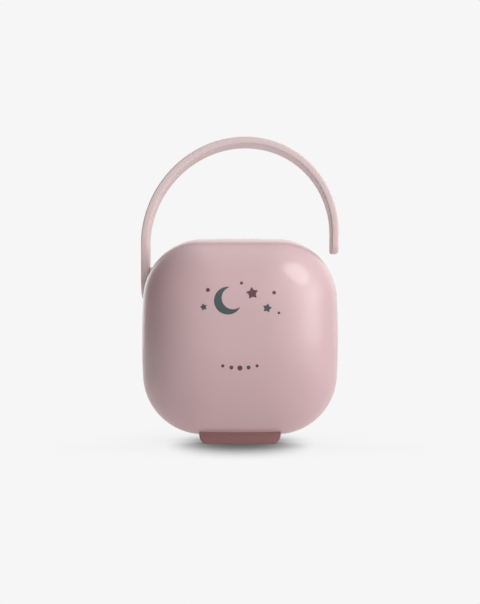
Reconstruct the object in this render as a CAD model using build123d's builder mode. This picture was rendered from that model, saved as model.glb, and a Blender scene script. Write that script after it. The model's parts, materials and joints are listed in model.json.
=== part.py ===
from build123d import *

import os
from math import cos, radians, sin

# Pacifier sterilizer case: a pillow-shaped clamshell that stands on a split foot and hangs from a flat
# C-shaped strap. The domed front cover turns down about a pin behind the foot, a push button at the top
# lets it go, and the back shell carries a drip rack, a steam vent and the strap's pivot.
#
# Millimetres. +Z is up, the front looks along -Y, and the origin lies on the floor under the middle of the
# case. The parting plane is y = 0: the cover is in front of it and the back shell reaches into the cover.

# --- driving dimensions -------------------------------------------------------------------------------

# body outline, seen from the front
body_width = 76.0
body_height = 76.0
side_bow = 2.4  # how far the left and right sides bulge between their corners
top_bow = 0.9  # the same for the top and the bottom
corner_radius = 23.5

# depth and roundness
front_depth = 27.5
back_depth = 27.5
rim_band = 6.5  # straight band beside the parting plane, before a dome begins
dome_power = 2.3  # 2 is a round dome, more is squarer
front_flat_width = 16.0
back_flat_width = 38.0
dome_steps = 6

# walls and the nesting lip
cover_wall = 2.2
shell_wall = 1.8
lip_gap = 0.4
lip_depth = 3.5
rim_round = 0.5

# seal and its ledge
seal_gap = 0.2
seal_thickness = 1.4
seal_width = 2.4
ledge_width = 1.6
ledge_thickness = 1.4

# foot and hinge
foot_height = 3.0
foot_top_width = 31.2
foot_base_width = 29.6
foot_reach = 14.5
foot_split = 4.6  # from the hinge line to each half of the foot
foot_corner_round = 3.0
foot_edge_round = 0.9
foot_plug_radius = 1.6
foot_plug_spacing = 19.0
foot_plug_head_radius = 2.4
foot_plug_head_height = 0.8
knuckle_radius = 2.0
knuckle_gap = 0.3
back_knuckle_width = 14.8
cover_knuckle_width = 5.5
hinge_pin_radius = 0.8
running_gap = 0.05

# strap
strap_width = 16.0
strap_thickness = 2.85
strap_gap = 0.8  # between the back shell's side and the strap
strap_rim_gap = 0.8  # between the cover's rim and the strap's front edge
strap_pivot_drop = 15.0  # from the body's top down to the pivot
strap_spring_rise = 0.8  # from the body's top up to where the straight legs turn into the arch
strap_arch_height = 40.2  # from there to the top
strap_tip_drop = 5.8  # from there down to the free end
strap_lean = 2.2  # how far the top of the arch sits to the right
strap_edge_round = 0.7
strap_tip_corner = 3.0

# strap pivot
boss_radius = 4.6
boss_gap = 0.15
boss_depth = 8.0
stud_radius = 2.15
stud_head_radius = 3.9
stud_head_height = 1.15
stud_recess = 0.1
stud_head_gap = 0.2
bush_wall = 0.9
retainer_radius = 3.8
retainer_thickness = 1.0
stud_tail = 0.8

# latch
button_width = 15.0
button_length = 7.0
button_setback = 2.6  # from the parting plane to the button's front
button_rise = 1.8
button_round = 0.7
button_travel = 1.3
slot_gap = 0.3
hook_width = 11.0
hook_thickness = 2.0
hook_release = 0.45  # how far the pressed hook clears the cover's catch
hook_lip_gap = 0.15
catch_lip = 1.0
slider_thickness = 1.8
slider_margin = 1.5  # how far the slider is wider than the button
slider_stop_gap = 0.6
spring_height = 3.6
spring_radius = 3.0
spring_wall = 0.8
bracket_thickness = 1.6
bracket_width = 8.0
bracket_post_spacing = 26.6
bracket_post_radius = 2.3
rivet_radius = 0.9
rivet_length = 4.0
rivet_head_radius = 1.7
rivet_head_height = 0.9

# steam vent
vent_slot_height = 1.4
vent_slot_length = 6.0
vent_slot_pitch = 3.0
vent_slot_count = 3
vent_hinge_height = 44.0
vent_setback = 7.0  # from the parting plane to the middle of the flap
vent_flap_length = 12.0
vent_flap_width = 9.0
vent_flap_thickness = 1.2
vent_anchor_length = 5.4
vent_skin_gap = 0.1
vent_hinge_gap = 0.15
vent_plug_radius = 1.3
vent_plug_head_radius = 2.1
vent_plug_head_height = 0.8

# drip rack
rack_setback = 15.6
rack_thickness = 1.5
rack_wall_gap = 1.2
rack_rim_width = 1.6
rack_rim_height = 2.0
rack_ring_radius = 13.5
rack_ring_wall = 1.6
rack_slot_width = 2.6
rack_slot_length = 7.0
rack_slot_circle = 21.0
rack_slot_count = 16
rack_post_margin = 6.4  # from the rack's edge to its post
rack_post_radius = 2.4
rack_pin_radius = 1.1
rack_pin_gap = 0.1
rack_pin_tail = 0.6
grommet_radius = 2.3
grommet_thickness = 1.2

# --- derived places -----------------------------------------------------------------------------------

body_centre = foot_height + body_height / 2
body_top = foot_height + body_height
shell_inset = cover_wall + lip_gap  # the back shell is this much smaller all round
shell_top = body_top - shell_inset
shell_ceiling = shell_top - shell_wall
shell_half_width = body_width / 2 - shell_inset
shell_bottom = foot_height + shell_inset

hinge_height = foot_height
cover_knuckle_start = back_knuckle_width / 2 + knuckle_gap
hinge_half_length = cover_knuckle_start + cover_knuckle_width
foot_middle = (foot_split + foot_reach) / 2

seal_back = -lip_depth - seal_gap
ledge_back = seal_back - seal_thickness

strap_pivot_height = body_top - strap_pivot_drop
strap_spring_height = body_top + strap_spring_rise
strap_tip_height = strap_spring_height - strap_tip_drop
strap_inner = shell_half_width + strap_gap
strap_outer = strap_inner + strap_thickness
strap_front = strap_rim_gap
strap_back = strap_rim_gap + strap_width
strap_middle = (strap_front + strap_back) / 2
boss_face = strap_inner - boss_gap
boss_end = boss_face - boss_depth
stud_head_outer = strap_outer - stud_recess
stud_head_inner = stud_head_outer - stud_head_height
eye_floor = stud_head_inner - stud_recess
bush_radius = stud_radius + running_gap + bush_wall

button_front = button_setback
button_back = button_setback + button_length
button_top = shell_top + button_rise
hook_back = -catch_lip - hook_lip_gap
hook_front = hook_back - hook_thickness
hook_overlap = button_travel - hook_release
hook_top = body_top - cover_wall + hook_overlap
catch_ceiling = hook_top + slot_gap
slider_top = shell_ceiling - slider_stop_gap
slider_bottom = slider_top - slider_thickness
bracket_top = slider_bottom - spring_height
bracket_bottom = bracket_top - bracket_thickness
latch_middle = (button_front + button_back) / 2

vent_inner_skin = shell_half_width + vent_skin_gap
vent_outer_skin = vent_inner_skin + vent_flap_thickness
vent_flap_top = vent_hinge_height - vent_hinge_gap / 2
vent_anchor_bottom = vent_hinge_height + vent_hinge_gap / 2

rack_back = rack_setback + rack_thickness
rack_half_width = shell_half_width - shell_wall - rack_wall_gap
rack_post_offset = rack_half_width - rack_post_margin


# --- the pillow shape that every shell follows -----------------------------------------------------------


def pillow(y, inset=0.0, share=1.0):
    """The rounded-square outline in the plane at y, set in by inset and then scaled by share."""
    half_width = (body_width / 2 - inset) * share
    half_height = (body_height / 2 - inset) * share
    corner_x = half_width - side_bow * share
    corner_z = half_height - top_bow * share
    plane = Plane(origin=(0, y, body_centre), x_dir=(1, 0, 0), z_dir=(0, -1, 0))
    with BuildSketch(plane) as outline:
        with BuildLine():
            ThreePointArc((corner_x, -corner_z), (half_width, 0), (corner_x, corner_z))
            ThreePointArc((corner_x, corner_z), (0, half_height), (-corner_x, corner_z))
            ThreePointArc((-corner_x, corner_z), (-half_width, 0), (-corner_x, -corner_z))
            ThreePointArc((-corner_x, -corner_z), (0, -half_height), (corner_x, -corner_z))
        make_face()
        fillet(outline.vertices(), (corner_radius - inset) * share)
    return outline.sketch.face()


def pillow_form(y_rim, y_band, y_flat, flat_width, inset):
    """A straight band from y_rim to y_band, and a dome from there to a flat patch at y_flat."""
    flat = flat_width / body_width
    sections = []
    for step in range(dome_steps + 1):
        turn = radians(90 * step / dome_steps)
        share = flat + (1 - flat) * abs(cos(turn)) ** (2 / dome_power)
        y = y_band + (y_flat - y_band) * sin(turn) ** (2 / dome_power)
        sections.append(pillow(y, inset, share))
    with BuildPart() as form:
        extrude(pillow(max(y_rim, y_band), inset), amount=abs(y_band - y_rim))
        loft(sections)
    return form.part


def cover_form(inset=0.0):
    """The cover's outer shape, or its inside when inset by the wall."""
    return pillow_form(0, -rim_band, -front_depth + inset, front_flat_width, inset)


def back_form(wall=0.0):
    """The back shell's outer shape, or its inside when inset by the wall."""
    return pillow_form(-lip_depth, rim_band, back_depth - wall, back_flat_width, shell_inset + wall)


def rod_x(x_from, x_to, y, z, radius, mode=Mode.ADD):
    """A round bar along X."""
    with Locations(Location(((x_from + x_to) / 2, y, z), (0, 90, 0))):
        Cylinder(radius, abs(x_to - x_from), mode=mode)


def rod_y(x, y_from, y_to, z, radius, mode=Mode.ADD):
    """A round bar along Y."""
    with Locations(Location((x, (y_from + y_to) / 2, z), (90, 0, 0))):
        Cylinder(radius, abs(y_to - y_from), mode=mode)


def rod_z(x, y, z_from, z_to, radius, mode=Mode.ADD):
    """A round bar along Z."""
    with Locations((x, y, (z_from + z_to) / 2)):
        Cylinder(radius, abs(z_to - z_from), mode=mode)


def block(x_range, y_range, z_range, mode=Mode.ADD):
    """A box between three pairs of limits."""
    limits = (x_range, y_range, z_range)
    centre = [(low + high) / 2 for low, high in limits]
    with Locations(tuple(centre)):
        Box(*[abs(high - low) for low, high in limits], mode=mode)


def save(part, name):
    """Labels a finished piece and writes it as the node of that name."""
    part.label = name
    export_step(part, os.path.join("parts", name + ".step"))


os.makedirs("parts", exist_ok=True)

cover_outside = cover_form()
cover_inside = cover_form(cover_wall)
back_outside = back_form()
back_inside = back_form(shell_wall)

# --- front cover ----------------------------------------------------------------------------------------

with BuildPart() as front_cover:
    add(cover_outside)
    fillet(front_cover.faces().sort_by(Axis.Y)[-1].edges(), rim_round)
    add(cover_inside, mode=Mode.SUBTRACT)
    # ledge that carries the seal
    with BuildSketch(Plane(origin=(0, ledge_back, 0), x_dir=(1, 0, 0), z_dir=(0, -1, 0))):
        add(pillow(ledge_back, cover_wall / 2))
        add(pillow(ledge_back, cover_wall + ledge_width), mode=Mode.SUBTRACT)
    extrude(amount=ledge_thickness)
    # pocket for the latch hook
    block(
        (-hook_width / 2 - slot_gap, hook_width / 2 + slot_gap),
        (hook_front - slot_gap, -catch_lip),
        (body_top - 2 * cover_wall, catch_ceiling),
        mode=Mode.SUBTRACT,
    )
    # room for the back shell's knuckle
    room = knuckle_radius + knuckle_gap
    rod_x(-cover_knuckle_start, cover_knuckle_start, 0, hinge_height, room, Mode.SUBTRACT)
    # the cover's two knuckles, each on a root under the rim
    for side in (-1, 1):
        near = side * cover_knuckle_start
        far = side * hinge_half_length
        rod_x(near, far, 0, hinge_height, knuckle_radius)
        block((near, far), (-room, 0), (hinge_height - knuckle_radius, foot_height + cover_wall / 2))
        # holes for the foot's plugs
        plug_x = side * foot_plug_spacing / 2
        rod_z(plug_x, -foot_middle, 0, foot_height + 2 * cover_wall, foot_plug_radius, Mode.SUBTRACT)
    bore = hinge_pin_radius + running_gap
    rod_x(-hinge_half_length, hinge_half_length, 0, hinge_height, bore, Mode.SUBTRACT)

save(front_cover.part, "front_cover")

# --- seal in the cover ------------------------------------------------------------------------------------

with BuildPart() as cover_seal:
    with BuildSketch(Plane(origin=(0, seal_back, 0), x_dir=(1, 0, 0), z_dir=(0, -1, 0))):
        add(pillow(seal_back, cover_wall + running_gap))
        add(pillow(seal_back, cover_wall + seal_width), mode=Mode.SUBTRACT)
    extrude(amount=seal_thickness)

save(cover_seal.part, "cover_seal")

# --- back shell -------------------------------------------------------------------------------------------

# posts that stand on the inside of the shell, trimmed to its outer surface
with BuildPart() as posts:
    for side in (-1, 1):
        rack_x = side * rack_post_offset
        rod_y(rack_x, rack_back, back_depth, body_centre, rack_post_radius)
        bracket_x = side * bracket_post_spacing / 2
        rod_z(bracket_x, latch_middle, bracket_top, shell_top, bracket_post_radius)
    add(back_outside, mode=Mode.INTERSECT)

with BuildPart() as rear_shell:
    add(back_outside)
    add(back_inside, mode=Mode.SUBTRACT)
    add(posts.part)
    # pins that carry the rack
    for side in (-1, 1):
        rack_x = side * rack_post_offset
        pin_tip = rack_setback - grommet_thickness - rack_pin_tail
        rod_y(rack_x, pin_tip, rack_back, body_centre, rack_pin_radius)
        # bores for the bracket's rivets
        bracket_x = side * bracket_post_spacing / 2
        rivet_tip = bracket_top + rivet_length
        rod_z(bracket_x, latch_middle, bracket_top, rivet_tip, rivet_radius, Mode.SUBTRACT)
    # slot for the latch button and a notch in the lip for its hook
    block(
        (-button_width / 2 - slot_gap, button_width / 2 + slot_gap),
        (button_front - slot_gap, button_back + slot_gap),
        (shell_ceiling - shell_wall, shell_top + shell_wall),
        mode=Mode.SUBTRACT,
    )
    block(
        (-hook_width / 2 - slot_gap, hook_width / 2 + slot_gap),
        (-lip_depth, hook_back + slot_gap),
        (shell_ceiling - shell_wall, shell_top + shell_wall),
        mode=Mode.SUBTRACT,
    )
    # boss and bore for the strap's stud
    rod_x(-boss_face, -boss_end, strap_middle, strap_pivot_height, boss_radius)
    rod_x(-boss_face, -boss_end, strap_middle, strap_pivot_height, stud_radius, Mode.SUBTRACT)
    # steam slots and the bore for the vent's plug
    vent_low = vent_flap_top - vent_flap_length
    for slot in range(vent_slot_count):
        slot_z = vent_low + vent_flap_length / 2 + (slot - (vent_slot_count - 1) / 2) * vent_slot_pitch
        slot_middle = (shell_half_width, vent_setback, slot_z)
        with BuildSketch(Plane(origin=slot_middle, x_dir=(0, 1, 0), z_dir=(1, 0, 0))):
            SlotOverall(vent_slot_length, vent_slot_height)
        extrude(amount=2 * shell_wall, both=True, mode=Mode.SUBTRACT)
    plug_z = vent_anchor_bottom + vent_anchor_length / 2
    plug_from = shell_half_width - 2 * shell_wall
    rod_x(plug_from, vent_outer_skin, vent_setback, plug_z, vent_plug_radius, Mode.SUBTRACT)
    # knuckle, with a root that rises to the shell's bottom behind the hinge line
    rod_x(-back_knuckle_width / 2, back_knuckle_width / 2, 0, hinge_height, knuckle_radius)
    block(
        (-back_knuckle_width / 2, back_knuckle_width / 2),
        (0, knuckle_radius + knuckle_gap),
        (hinge_height - knuckle_radius, shell_bottom + shell_wall / 2),
    )
    rod_x(
        -back_knuckle_width / 2,
        back_knuckle_width / 2,
        0,
        hinge_height,
        hinge_pin_radius,
        Mode.SUBTRACT,
    )
    # holes for the foot's plugs
    for side in (-1, 1):
        plug_x = side * foot_plug_spacing / 2
        rod_z(plug_x, foot_middle, 0, shell_bottom + 2 * shell_wall, foot_plug_radius, Mode.SUBTRACT)

save(rear_shell.part, "rear_shell")

# --- hinge pin --------------------------------------------------------------------------------------------

with BuildPart() as hinge_pin:
    rod_x(-hinge_half_length, hinge_half_length, 0, hinge_height, hinge_pin_radius)

save(hinge_pin.part, "hinge_pin")

# --- the two halves of the foot ------------------------------------------------------------------------


def foot_half(side, outside, carrier, skin, wall):
    """One soft half of the foot, in front of the hinge (side -1) or behind it (side 1).

    It fills the space under the carrier's outside, and its plugs grip the carrier's wall, whose lowest
    points are skin and skin + wall.
    """
    base_half = foot_base_width / 2
    top_half = foot_top_width / 2
    head_bottom = skin + wall
    head_top = head_bottom + 2 * foot_plug_head_height
    plane = Plane(origin=(0, side * foot_reach, 0), x_dir=(-side, 0, 0), z_dir=(0, side, 0))
    with BuildPart() as foot:
        with BuildSketch(plane) as face:
            with BuildLine():
                Polyline(
                    (-base_half, 0),
                    (base_half, 0),
                    (top_half, foot_height),
                    (top_half, head_bottom),
                    (-top_half, head_bottom),
                    (-top_half, foot_height),
                    close=True,
                )
            make_face()
            fillet(face.vertices().group_by(Axis.Y)[0], foot_corner_round)
        extrude(amount=foot_split - foot_reach)
        end_face = foot.faces().sort_by(Axis((0, 0, 0), (0, side, 0)))[-1]
        fillet(end_face.edges().group_by(Axis.Z)[0], foot_edge_round)
        add(outside, mode=Mode.SUBTRACT)
        for end in (-1, 1):
            plug_x = end * foot_plug_spacing / 2
            rod_z(plug_x, side * foot_middle, foot_height, head_top, foot_plug_radius)
            rod_z(plug_x, side * foot_middle, head_bottom, head_top, foot_plug_head_radius)
        add(carrier, mode=Mode.SUBTRACT)
    return foot.part


save(foot_half(-1, cover_outside, front_cover.part, foot_height, cover_wall), "front_foot")
save(foot_half(1, back_outside, rear_shell.part, shell_bottom, shell_wall), "rear_foot")

# --- strap ------------------------------------------------------------------------------------------------


def half_arch(offset, side):
    """Points along one half of the arch, from its leg to its crown, offset from the strap's inner side."""
    rise = strap_arch_height - strap_thickness
    points = []
    for turn in range(0, 91, 30):
        across = side * (strap_inner + offset) * cos(radians(turn)) + strap_lean * sin(radians(turn))
        points.append((across, strap_spring_height + (rise + offset) * sin(radians(turn))))
    return points


def arc_chain(points):
    """Tangent arcs through the points, which leave the first one along the strap's lean."""
    heading = (strap_lean, strap_arch_height)
    for start, end in zip(points, points[1:]):
        arc = TangentArc(start, end, tangent=heading)
        heading = arc % 1


with BuildPart() as carry_strap:
    with BuildSketch(Plane(origin=(0, strap_front, 0), x_dir=(1, 0, 0), z_dir=(0, -1, 0))):
        with BuildLine():
            for side in (-1, 1):
                arc_chain(half_arch(0, side))
                arc_chain(half_arch(strap_thickness, side))
            Line((strap_inner, strap_tip_height), (strap_outer, strap_tip_height))
            for side in (strap_inner, strap_outer):
                Line((side, strap_tip_height), (side, strap_spring_height))
                Line((-side, strap_spring_height), (-side, strap_pivot_height))
            Line((-strap_outer, strap_pivot_height), (-strap_inner, strap_pivot_height))
        make_face()
    extrude(amount=-strap_width)
    tip = carry_strap.faces().filter_by(Axis.Z).sort_by(Axis.X)[-1]
    fillet(tip.edges().filter_by(Axis.X), strap_tip_corner)
    # the eye at the foot of the left leg
    rod_x(-strap_outer, -strap_inner, strap_middle, strap_pivot_height, strap_width / 2)
    arch_edges = carry_strap.edges().filter_by(lambda edge: edge.center().Z > strap_spring_height + 1)
    fillet(arch_edges.filter_by(Axis.Y, reverse=True), strap_edge_round)
    # bore for the bush and a counterbore for the stud's head
    rod_x(-strap_outer, -strap_inner, strap_middle, strap_pivot_height, bush_radius, Mode.SUBTRACT)
    sink_radius = stud_head_radius + stud_head_gap
    rod_x(-strap_outer, -eye_floor, strap_middle, strap_pivot_height, sink_radius, Mode.SUBTRACT)

save(carry_strap.part, "carry_strap")

with BuildPart() as strap_bush:
    rod_x(-eye_floor, -strap_inner, strap_middle, strap_pivot_height, bush_radius)
    bore = stud_radius + running_gap
    rod_x(-eye_floor, -strap_inner, strap_middle, strap_pivot_height, bore, Mode.SUBTRACT)

save(strap_bush.part, "strap_bush")

with BuildPart() as strap_stud:
    rod_x(-stud_head_outer, -stud_head_inner, strap_middle, strap_pivot_height, stud_head_radius)
    fillet(strap_stud.faces().sort_by(Axis.X)[0].edges(), stud_head_height / 3)
    stud_end = boss_end - retainer_thickness - stud_tail
    rod_x(-stud_head_inner, -stud_end, strap_middle, strap_pivot_height, stud_radius)
    chamfer(strap_stud.faces().sort_by(Axis.X)[-1].edges(), stud_tail / 2)

save(strap_stud.part, "strap_stud")

with BuildPart() as stud_retainer:
    retainer_end = boss_end - retainer_thickness
    rod_x(-boss_end, -retainer_end, strap_middle, strap_pivot_height, retainer_radius)
    rod_x(-boss_end, -retainer_end, strap_middle, strap_pivot_height, stud_radius, Mode.SUBTRACT)

save(stud_retainer.part, "stud_retainer")

# --- latch ------------------------------------------------------------------------------------------------

with BuildPart() as latch_button:
    block((-button_width / 2, button_width / 2), (button_front, button_back), (slider_top, button_top))
    fillet(latch_button.edges().filter_by(Axis.Z), 2 * button_round)
    fillet(latch_button.faces().sort_by(Axis.Z)[-1].edges(), button_round)
    slider_half = button_width / 2 + slider_margin
    slider_front = button_front - slider_margin
    slider_back = button_back + slider_margin
    block((-slider_half, slider_half), (slider_front, slider_back), (slider_bottom, slider_top))
    hook_half = hook_width / 2
    block((-hook_half, hook_half), (hook_front, slider_front), (slider_bottom, slider_top))
    block((-hook_half, hook_half), (hook_front, hook_back), (slider_top, hook_top))
    chamfer(latch_button.faces().sort_by(Axis.Y)[0].edges().group_by(Axis.Z)[-1], hook_overlap / 2)

save(latch_button.part, "latch_button")

with BuildPart() as latch_spring:
    rod_z(0, latch_middle, bracket_top, slider_bottom, spring_radius)
    rod_z(0, latch_middle, bracket_top, slider_bottom, spring_radius - spring_wall, Mode.SUBTRACT)

save(latch_spring.part, "latch_spring")

with BuildPart() as latch_bracket:
    with BuildSketch(Plane.XY.offset(bracket_bottom)):
        with Locations((0, latch_middle)):
            SlotCenterToCenter(bracket_post_spacing, bracket_width)
    extrude(amount=bracket_thickness)
    with Locations((0, latch_middle, bracket_top)):
        with GridLocations(bracket_post_spacing, 0, 2, 1):
            Hole(rivet_radius)

save(latch_bracket.part, "latch_bracket")

with BuildPart() as latch_rivets:
    for side in (-1, 1):
        rivet_x = side * bracket_post_spacing / 2
        head_bottom = bracket_bottom - rivet_head_height
        rod_z(rivet_x, latch_middle, head_bottom, bracket_bottom, rivet_head_radius)
        rod_z(rivet_x, latch_middle, bracket_bottom, bracket_top + rivet_length, rivet_radius)

save(latch_rivets.part, "latch_rivets")

# --- steam vent -------------------------------------------------------------------------------------------

# a skin over the back shell, as thick as the vent's flap
with BuildPart() as vent_skin:
    add(back_form(-vent_skin_gap - vent_flap_thickness))
    add(back_form(-vent_skin_gap), mode=Mode.SUBTRACT)

vent_side = (vent_setback - vent_flap_width / 2, vent_setback + vent_flap_width / 2)

with BuildPart() as vent_flap:
    block((0, body_width), vent_side, (vent_flap_top - vent_flap_length, vent_flap_top))
    corners = vent_flap.edges().filter_by(Axis.X).group_by(Axis.Z)[0]
    fillet(corners, vent_flap_width / 5)
    add(vent_skin.part, mode=Mode.INTERSECT)

save(vent_flap.part, "vent_flap")

with BuildPart() as vent_anchor:
    block((0, body_width), vent_side, (vent_anchor_bottom, vent_anchor_bottom + vent_anchor_length))
    corners = vent_anchor.edges().filter_by(Axis.X).group_by(Axis.Z)[-1]
    fillet(corners, vent_flap_width / 5)
    add(vent_skin.part, mode=Mode.INTERSECT)
    head_outer = shell_half_width - shell_wall
    head_inner = head_outer - 2 * vent_plug_head_height
    rod_x(head_inner, vent_inner_skin + vent_flap_thickness / 2, vent_setback, plug_z, vent_plug_radius)
    rod_x(head_inner, head_outer, vent_setback, plug_z, vent_plug_head_radius)
    add(rear_shell.part, mode=Mode.SUBTRACT)

save(vent_anchor.part, "vent_anchor")

# --- drip rack --------------------------------------------------------------------------------------------

with BuildPart() as steam_rack:
    # a tray with a raised rim, cut from the inside of the back shell
    add(back_form(shell_wall + rack_wall_gap))
    tray_front = rack_setback - rack_rim_height
    block((-body_width, body_width), (tray_front, rack_back), (0, 2 * body_top), mode=Mode.INTERSECT)
    with BuildSketch(Plane(origin=(0, tray_front, 0), x_dir=(1, 0, 0), z_dir=(0, -1, 0))):
        add(pillow(tray_front, shell_inset + shell_wall + rack_wall_gap + 2 * rack_rim_width))
    extrude(amount=-rack_rim_height, mode=Mode.SUBTRACT)
    # the ring that a soother's shield leans on, with its teat through the middle
    rod_y(0, tray_front, rack_setback, body_centre, rack_ring_radius + rack_ring_wall)
    rod_y(0, tray_front, rack_back, body_centre, rack_ring_radius, Mode.SUBTRACT)
    # steam slots around the ring and holes for the two posts
    back_of_rack = Plane(origin=(0, rack_back, body_centre), x_dir=(-1, 0, 0), z_dir=(0, 1, 0))
    with BuildSketch(back_of_rack):
        with PolarLocations(rack_slot_circle, rack_slot_count, start_angle=180 / rack_slot_count):
            SlotOverall(rack_slot_length, rack_slot_width)
    extrude(amount=-rack_thickness, mode=Mode.SUBTRACT)
    for side in (-1, 1):
        pin_x = side * rack_post_offset
        hole = rack_pin_radius + rack_pin_gap
        rod_y(pin_x, rack_setback, rack_back, body_centre, hole, Mode.SUBTRACT)

save(steam_rack.part, "steam_rack")

with BuildPart() as rack_grommets:
    for side in (-1, 1):
        pin_x = side * rack_post_offset
        grommet_front = rack_setback - grommet_thickness
        rod_y(pin_x, grommet_front, rack_setback, body_centre, grommet_radius)
        rod_y(pin_x, grommet_front, rack_setback, body_centre, rack_pin_radius, Mode.SUBTRACT)

save(rack_grommets.part, "rack_grommets")
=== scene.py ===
import json
import math

import bmesh
import bpy
from bpy.props import FloatProperty, FloatVectorProperty, PointerProperty
from bpy.types import Operator, Panel, PropertyGroup
from mathutils import Matrix, Vector


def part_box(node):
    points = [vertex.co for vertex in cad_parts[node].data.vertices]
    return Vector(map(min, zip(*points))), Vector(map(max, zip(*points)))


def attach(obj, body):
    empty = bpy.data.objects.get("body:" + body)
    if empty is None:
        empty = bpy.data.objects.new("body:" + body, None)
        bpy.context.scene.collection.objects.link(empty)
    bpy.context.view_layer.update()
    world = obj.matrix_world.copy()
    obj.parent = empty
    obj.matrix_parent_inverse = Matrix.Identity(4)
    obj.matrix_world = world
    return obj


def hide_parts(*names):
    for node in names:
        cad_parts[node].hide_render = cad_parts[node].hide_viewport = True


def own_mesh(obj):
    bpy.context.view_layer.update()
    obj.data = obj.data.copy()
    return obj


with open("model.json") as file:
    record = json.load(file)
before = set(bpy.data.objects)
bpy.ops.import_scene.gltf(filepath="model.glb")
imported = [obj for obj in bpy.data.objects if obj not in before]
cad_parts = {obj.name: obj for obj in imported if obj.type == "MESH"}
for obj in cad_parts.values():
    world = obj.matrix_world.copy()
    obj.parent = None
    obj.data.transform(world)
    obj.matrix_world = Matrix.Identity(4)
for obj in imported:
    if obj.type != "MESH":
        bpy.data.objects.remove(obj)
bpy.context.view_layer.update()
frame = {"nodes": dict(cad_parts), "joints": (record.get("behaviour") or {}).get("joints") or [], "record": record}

bl_info = {
    "name": "Pacifier Sterilizer Case",
    "version": (1, 0, 0),
    "blender": (4, 5, 0),
    "location": "3D View > Sidebar > Case",
    "description": "Dresses the case's frame with its shells, strap, finishes and stage",
    "category": "Object",
}

# Everything is in metres, in the frame's own axes: +Z up, the cover's dome towards -Y.

COVER_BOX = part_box("front_cover")
SHELL_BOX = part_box("rear_shell")
STRAP_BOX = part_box("carry_strap")
SEAL_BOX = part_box("cover_seal")
BUTTON_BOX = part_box("latch_button")
FLAP_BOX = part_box("vent_flap")
JOINTS = {joint["name"]: joint for joint in frame["joints"]}
HINGE = Vector(JOINTS["cover_hinge"]["pos_m"])
PIVOT = Vector(JOINTS["strap_swing"]["pos_m"])

MM = 0.001
LEFT, RIGHT, BACK, UP = (-1, 0, 0), (1, 0, 0), (0, 1, 0), (0, 0, 1)
RING_SEGMENTS = 192
CURVE_SEGMENTS = 64
SHARP_ANGLE = 32

INK = 0.03 * MM
# The hinge has one knuckle on the back shell, between two on the cover.
KNUCKLE_RADIUS = 2.0 * MM
MIDDLE_KNUCKLE = 7.4 * MM
OUTER_KNUCKLES = (7.7 * MM, 13.2 * MM)
BORE_START, BORE_REACH = -15 * MM, 30 * MM
# The latch's hook passes through a notch in the lip into a pocket in the cover.
HOOK_HALF = 5.5 * MM
HOOK_ROOM = 5.8 * MM
# Each half of the foot has two plugs.
PLUG_X, PLUG_Y = 9.5 * MM, 9.55 * MM
PLUG_RADIUS = 1.6 * MM
# The rack stands on two pins, and the vent's parts lie round one line on the right side.
RACK_PIN_X = 26.0 * MM
VENT_Y = 7 * MM


# --- sizes and colours a user would change ---------------------------------------------------------


def length(label, text, default):
    """A length property in metres."""
    return FloatProperty(name=label, description=text, default=default, min=0.0, unit="LENGTH", precision=5)


def colour(label, text, default):
    """A linear colour property."""
    return FloatVectorProperty(
        name=label, description=text, default=default, size=3, min=0.0, max=1.0, subtype="COLOR"
    )


def factor(label, text, default):
    """A property from 0 to 1."""
    return FloatProperty(name=label, description=text, default=default, min=0.0, max=1.0, subtype="FACTOR")


def strength(label, text, default):
    """The brightness of a lamp's face, where white paper is 1."""
    return FloatProperty(name=label, description=text, default=default, min=0.0)


class CaseShape(PropertyGroup):
    """The pillow shape of the two shells."""

    width: length("Width", "Width of the body", COVER_BOX[1].x - COVER_BOX[0].x)
    height: length("Height", "Height of the body", COVER_BOX[1].z - HINGE.z)
    base: length("Base", "Height of the body's underside over the floor", HINGE.z)
    side_bow: length("Side bow", "Bulge of the left and right sides", 2.4 * MM)
    top_bow: length("Top bow", "Bulge of the top and the bottom", 0.9 * MM)
    corner: length("Corner radius", "Radius of the outline's corners", 23.5 * MM)
    front_depth: length("Front depth", "From the parting plane to the bare front", -COVER_BOX[0].y - INK)
    back_depth: length("Back depth", "From the parting plane to the back", SHELL_BOX[1].y)
    band: length("Rim band", "Straight band beside the parting plane", 6.5 * MM)
    front_flat: length("Front flat", "Width of the flat patch in front", 16.0 * MM)
    back_flat: length("Back flat", "Width of the flat patch behind", 38.0 * MM)
    power: FloatProperty(name="Dome power", description="2 is a round dome, more is squarer", default=2.3)
    cover_wall: length("Cover wall", "Thickness of the front cover", 2.2 * MM)
    shell_wall: length("Shell wall", "Thickness of the back shell", 1.8 * MM)
    shell_inset: length("Shell inset", "How much smaller the back shell is", 2.6 * MM)
    rim_round: length("Rim round", "Rounding of the cover's rim", 0.5 * MM)
    edge_break: length("Edge break", "Small rounding of every other edge", 0.2 * MM)


class StrapShape(PropertyGroup):
    """The strap's cross-section and arch."""

    thickness: length("Thickness", "Thickness of the strap", 2.85 * MM)
    arch_rise: length("Arch", "From the end of the straight legs to the top", 40.2 * MM)
    lean: length("Lean", "How far the top sits to the right", 2.2 * MM)
    edge: length("Edge round", "Rounding of the long edges", 0.7 * MM)
    tip_corner: length("Tip corner", "Rounding of the free end's corners", 3.0 * MM)
    bush: length("Bush radius", "Radius of the hole for the bush", 3.1 * MM)
    sink: length("Counterbore", "Radius of the recess for the stud's head", 4.1 * MM)
    sink_depth: length("Counterbore depth", "Depth of the recess", 1.35 * MM)


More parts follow.
